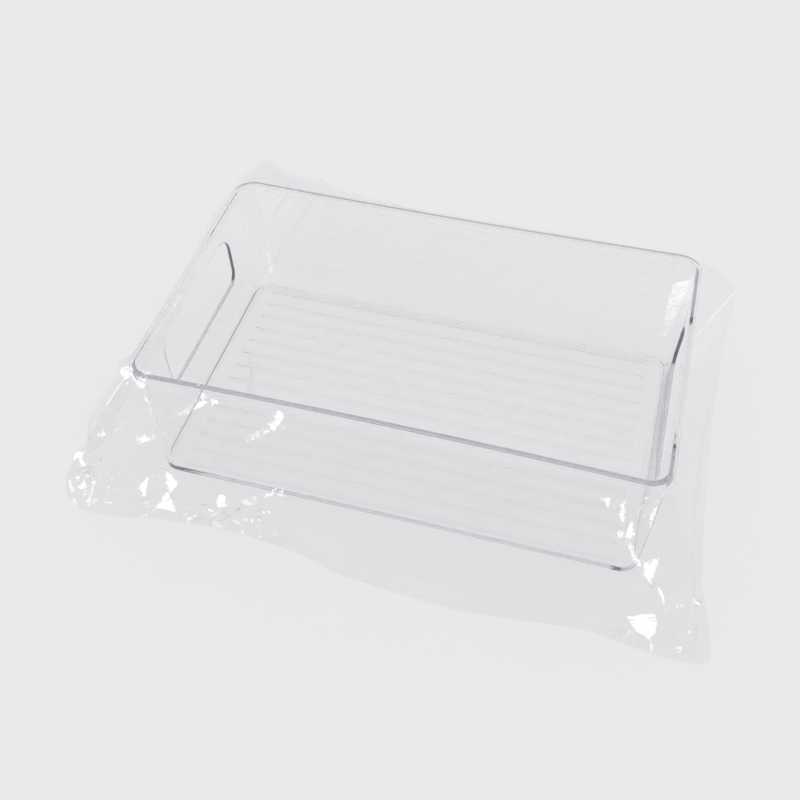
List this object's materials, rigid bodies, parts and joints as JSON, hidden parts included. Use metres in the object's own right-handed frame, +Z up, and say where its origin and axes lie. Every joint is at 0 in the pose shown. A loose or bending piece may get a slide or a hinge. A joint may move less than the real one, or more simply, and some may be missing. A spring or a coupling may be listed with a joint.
{
  "type": "fridge bin in a poly bag",
  "caption": "Clear rectangular fridge bin with a lipped rim, a hand slot through each end wall and a ribbed floor, lying in a loose clear film bag that draws off endways.",
  "frame": {"origin": "on the underside of the bag's bottom layer, which rests on the shelf, below the middle of the bin", "axes": "+X along the bin's length towards the bag's closed end, +Y along its width, +Z up"},
  "size_m": [0.388, 0.252, 0.0914],
  "materials": {
    "clear_plastic": "polished",
    "film": "polished"
  },
  "bodies": {
    "bin": {"bin_tub": "clear_plastic"},
    "bag": {"bag_upper_film": "film", "bag_lower_film": "film"}
  },
  "joints": [
    {"name": "bag_slide", "type": "slide", "parent": "bin", "child": "bag", "axis": [1, 0, 0], "range_m": [0, 0.36]}
  ]
}
